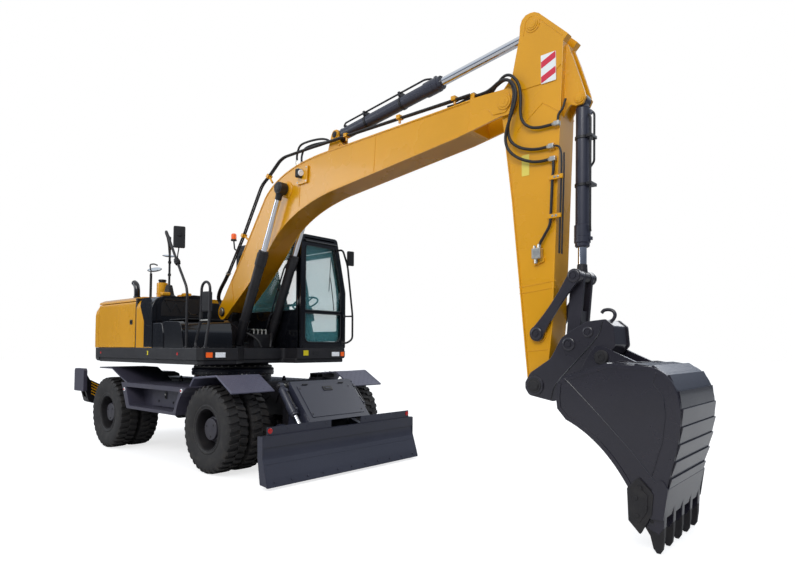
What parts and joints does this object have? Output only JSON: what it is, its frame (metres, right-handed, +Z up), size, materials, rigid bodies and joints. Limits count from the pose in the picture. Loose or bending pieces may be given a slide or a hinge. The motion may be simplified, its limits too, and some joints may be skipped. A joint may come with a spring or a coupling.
{
  "type": "wheeled excavator",
  "caption": "Wheeled excavator with one-piece boom, arm, toothed bucket on a quick coupler, offset cab, slewing upper deck, twin-tyred axles, front dozer blade and rear outriggers.",
  "frame": {"origin": "on the ground below the middle of the machine's overall length and width", "axes": "+X towards the bucket, +Y towards the cab side, +Z up"},
  "size_m": [9.1742, 2.5525, 4.68],
  "materials": {
    "ochre_paint": "gloss",
    "dark_paint": "semi-gloss",
    "grey_paint": "satin",
    "tyre_rubber": "matt",
    "rod_chrome": "polished",
    "hose_rubber": "matt",
    "cab_glass": "clear tinted",
    "seat_fabric": "woven"
  },
  "bodies": {
    "chassis": {"chassis_frame": "dark_paint", "slew_ring": "grey_paint", "front_axle": "dark_paint", "rear_axle": "dark_paint", "step_box_left": "dark_paint", "step_box_right": "dark_paint", "front_fenders": "grey_paint", "nose_locker": "grey_paint"},
    "knuckle_left": {"knuckle_left": "dark_paint"},
    "knuckle_right": {"knuckle_right": "dark_paint"},
    "wheel_front_left": {"tyres_front_left": "tyre_rubber", "rim_front_left": "dark_paint"},
    "wheel_front_right": {"tyres_front_right": "tyre_rubber", "rim_front_right": "dark_paint"},
    "wheel_rear_left": {"tyres_rear_left": "tyre_rubber", "rim_rear_left": "dark_paint"},
    "wheel_rear_right": {"tyres_rear_right": "tyre_rubber", "rim_rear_right": "dark_paint"},
    "blade": {"blade": "grey_paint"},
    "blade_barrel_left": {"blade_barrel_left": "dark_paint"},
    "blade_rod_left": {"blade_rod_left": "rod_chrome"},
    "outrigger_left": {"outrigger_left": "dark_paint"},
    "outrigger_barrel_left": {"outrigger_barrel_left": "dark_paint"},
    "outrigger_rod_left": {"outrigger_rod_left": "rod_chrome"},
    "blade_barrel_right": {"blade_barrel_right": "dark_paint"},
    "blade_rod_right": {"blade_rod_right": "rod_chrome"},
    "outrigger_right": {"outrigger_right": "dark_paint"},
    "outrigger_barrel_right": {"outrigger_barrel_right": "dark_paint"},
    "outrigger_rod_right": {"outrigger_rod_right": "rod_chrome"},
    "upper": {"upper_frame": "dark_paint", "counterweight": "ochre_paint", "engine": "grey_paint", "tank": "dark_paint", "handrail": "dark_paint", "cab_shell": "dark_paint", "windshield": "cab_glass", "cab_right_glass": "cab_glass", "rear_glass": "cab_glass", "operator_seat": "seat_fabric"},
    "hood": {"hood": "dark_paint"},
    "side_door_left": {"side_door_left": "ochre_paint"},
    "side_door_right": {"side_door_right": "ochre_paint"},
    "cab_door": {"cab_door": "dark_paint", "door_glass": "cab_glass"},
    "boom": {"boom": "ochre_paint", "elbow_hose_large": "hose_rubber", "elbow_hose_small": "hose_rubber", "elbow_hose_loop": "hose_rubber"},
    "boom_barrels": {"boom_barrels": "dark_paint"},
    "boom_rods": {"boom_rod_left": "rod_chrome", "boom_rod_right": "rod_chrome"},
    "arm_barrel": {"arm_barrel": "dark_paint"},
    "arm_rod": {"arm_rod": "rod_chrome"},
    "arm": {"arm": "ochre_paint"},
    "bucket_barrel": {"bucket_barrel": "dark_paint"},
    "bucket_rod": {"bucket_rod": "rod_chrome"},
    "guide_links": {"guide_links": "dark_paint"},
    "power_link": {"power_link": "dark_paint"},
    "bucket": {"quick_coupler": "dark_paint", "bucket": "grey_paint"}
  },
  "joints": [
    {"name": "steer_right", "type": "hinge", "parent": "chassis", "child": "knuckle_right", "pos_m": [-0.545, -0.74, 0.527], "axis": [0, 0, 1], "range_deg": [-25, 25]},
    {"name": "steer_left", "type": "hinge", "parent": "chassis", "child": "knuckle_left", "pos_m": [-0.545, 0.74, 0.527], "axis": [0, 0, 1], "range_deg": [-25, 25]},
    {"name": "wheel_front_left_spin", "type": "hinge", "parent": "knuckle_left", "child": "wheel_front_left", "pos_m": [-0.545, 0.941, 0.527], "axis": [0, 1, 0], "continuous": true},
    {"name": "wheel_rear_left_spin", "type": "hinge", "parent": "chassis", "child": "wheel_rear_left", "pos_m": [-3.345, 0.941, 0.527], "axis": [0, 1, 0], "continuous": true},
    {"name": "wheel_front_right_spin", "type": "hinge", "parent": "knuckle_right", "child": "wheel_front_right", "pos_m": [-0.545, -0.941, 0.527], "axis": [0, 1, 0], "continuous": true},
    {"name": "wheel_rear_right_spin", "type": "hinge", "parent": "chassis", "child": "wheel_rear_right", "pos_m": [-3.345, -0.941, 0.527], "axis": [0, 1, 0], "continuous": true},
    {"name": "blade_lift", "type": "hinge", "parent": "chassis", "child": "blade", "pos_m": [0.033, 0, 0.52], "axis": [0, -1, 0], "range_deg": [-12, 25]},
    {"name": "blade_barrel_left_tilt", "type": "hinge", "parent": "chassis", "child": "blade_barrel_left", "pos_m": [0.023, 0.565, 1.04], "axis": [0, -1, 0], "range_deg": [-5.5, 10.8]},
    {"name": "blade_rod_left_slide", "type": "slide", "parent": "blade_barrel_left", "child": "blade_rod_left", "axis": [0.6437, 0, -0.7653], "range_m": [-0.155, 0.078]},
    {"name": "blade_barrel_right_tilt", "type": "hinge", "parent": "chassis", "child": "blade_barrel_right", "pos_m": [0.023, -0.565, 1.04], "axis": [0, -1, 0], "range_deg": [-5.5, 10.8]},
    {"name": "blade_rod_right_slide", "type": "slide", "parent": "blade_barrel_right", "child": "blade_rod_right", "axis": [0.6437, 0, -0.7653], "range_m": [-0.155, 0.078]},
    {"name": "outrigger_left_fold", "type": "hinge", "parent": "chassis", "child": "outrigger_left", "pos_m": [-4.392, 0.43, 0.47], "axis": [-1, 0, 0], "range_deg": [0, 63]},
    {"name": "outrigger_barrel_left_tilt", "type": "hinge", "parent": "chassis", "child": "outrigger_barrel_left", "pos_m": [-4.392, 0.33, 0.96], "axis": [-1, 0, 0], "range_deg": [-0.5, 34.9]},
    {"name": "outrigger_rod_left_slide", "type": "slide", "parent": "outrigger_barrel_left", "child": "outrigger_rod_left", "axis": [0, 0.9404, -0.3402], "range_m": [-0.001, 0.38]},
    {"name": "outrigger_right_fold", "type": "hinge", "parent": "chassis", "child": "outrigger_right", "pos_m": [-4.392, -0.43, 0.47], "axis": [1, 0, 0], "range_deg": [0, 63]},
    {"name": "outrigger_barrel_right_tilt", "type": "hinge", "parent": "chassis", "child": "outrigger_barrel_right", "pos_m": [-4.392, -0.33, 0.96], "axis": [1, 0, 0], "range_deg": [-0.5, 34.9]},
    {"name": "outrigger_rod_right_slide", "type": "slide", "parent": "outrigger_barrel_right", "child": "outrigger_rod_right", "axis": [0, -0.9404, -0.3402], "range_m": [-0.001, 0.38]},
    {"name": "slew", "type": "hinge", "parent": "chassis", "child": "upper", "pos_m": [-1.867, 0, 1.25], "axis": [0, 0, 1], "continuous": true},
    {"name": "hood_lift", "type": "hinge", "parent": "upper", "child": "hood", "pos_m": [-3.661, 0, 2.29], "axis": [0, -1, 0], "range_deg": [0, 60]},
    {"name": "side_door_left_swing", "type": "hinge", "parent": "upper", "child": "side_door_left", "pos_m": [-3.661, 1.24, 1.83], "axis": [0, 0, 1], "range_deg": [0, 110]},
    {"name": "side_door_right_swing", "type": "hinge", "parent": "upper", "child": "side_door_right", "pos_m": [-3.661, -1.24, 1.83], "axis": [0, 0, -1], "range_deg": [0, 110]},
    {"name": "cab_door_swing", "type": "hinge", "parent": "upper", "child": "cab_door", "pos_m": [-1.661, 1.22, 2.3], "axis": [0, 0, 1], "range_deg": [0, 150]},
    {"name": "boom_lift", "type": "hinge", "parent": "upper", "child": "boom", "pos_m": [-1.927, 0, 2.04], "axis": [0, -1, 0], "range_deg": [-45, 28]},
    {"name": "boom_barrels_tilt", "type": "hinge", "parent": "upper", "child": "boom_barrels", "pos_m": [-1.387, 0, 1.49], "axis": [0, -1, 0], "range_deg": [-42.1, 26.4]},
    {"name": "boom_rods_slide", "type": "slide", "parent": "boom_barrels", "child": "boom_rods", "axis": [0.4145, 0, 0.9101], "range_m": [-0.575, 0.36]},
    {"name": "arm_swing", "type": "hinge", "parent": "boom", "child": "arm", "pos_m": [2.933, 0, 3.88], "axis": [0, 1, 0], "range_deg": [-65, 43], "deforming": ["elbow_hose_large", "elbow_hose_small", "elbow_hose_loop"]},
    {"name": "arm_barrel_tilt", "type": "hinge", "parent": "boom", "child": "arm_barrel", "pos_m": [0.433, 0, 4.19], "axis": [0, 1, 0], "range_deg": [-6.3, 4.3]},
    {"name": "arm_rod_slide", "type": "slide", "parent": "arm_barrel", "child": "arm_rod", "axis": [0.9915, 0, 0.1299], "range_m": [-0.725, 0.48]},
    {"name": "bucket_curl", "type": "hinge", "parent": "arm", "child": "bucket", "pos_m": [3.238, 0, 1.172], "axis": [0, 1, 0], "range_deg": [-8, 130]},
    {"name": "guide_links_swing", "type": "hinge", "parent": "arm", "child": "guide_links", "pos_m": [3.255, 0, 1.643], "axis": [0, 1, 0], "range_deg": [-7.1, 107.9]},
    {"name": "power_link_swing", "type": "hinge", "parent": "guide_links", "child": "power_link", "pos_m": [3.619, 0, 2.144], "axis": [0, 1, 0], "range_deg": [-82.1, 5.5]},
    {"name": "bucket_barrel_tilt", "type": "hinge", "parent": "arm", "child": "bucket_barrel", "pos_m": [3.645, 0, 3.749], "axis": [0, 1, 0], "range_deg": [-5.1, 0.8]},
    {"name": "bucket_rod_slide", "type": "slide", "parent": "bucket_barrel", "child": "bucket_rod", "axis": [-0.0162, 0, -0.9999], "range_m": [-0.065, 0.99]}
  ],
  "couplings": [
    {"joint": "steer_left", "follows": "steer_right", "ratio": 1},
    {"joint": "blade_barrel_left_tilt", "follows": "blade_lift", "ratio": 0.4132},
    {"joint": "blade_rod_left_slide", "follows": "blade_lift", "m_per_rad": -0.3447},
    {"joint": "blade_barrel_right_tilt", "follows": "blade_lift", "ratio": 0.4132},
    {"joint": "blade_rod_right_slide", "follows": "blade_lift", "m_per_rad": -0.3447},
    {"joint": "outrigger_barrel_left_tilt", "follows": "outrigger_left_fold", "ratio": 0.5468},
    {"joint": "outrigger_rod_left_slide", "follows": "outrigger_left_fold", "m_per_rad": 0.3436},
    {"joint": "outrigger_barrel_right_tilt", "follows": "outrigger_right_fold", "ratio": 0.5468},
    {"joint": "outrigger_rod_right_slide", "follows": "outrigger_right_fold", "m_per_rad": 0.3436},
    {"joint": "boom_barrels_tilt", "follows": "boom_lift", "ratio": 0.924},
    {"joint": "boom_rods_slide", "follows": "boom_lift", "m_per_rad": 0.7207},
    {"joint": "arm_barrel_tilt", "follows": "arm_swing", "ratio": 0.0888},
    {"joint": "arm_rod_slide", "follows": "arm_swing", "m_per_rad": 0.6318},
    {"joint": "guide_links_swing", "follows": "bucket_curl", "ratio": 0.8265},
    {"joint": "power_link_swing", "follows": "bucket_curl", "ratio": -0.6278},
    {"joint": "bucket_barrel_tilt", "follows": "bucket_curl", "ratio": -0.0352},
    {"joint": "bucket_rod_slide", "follows": "bucket_curl", "m_per_rad": 0.434}
  ]
}
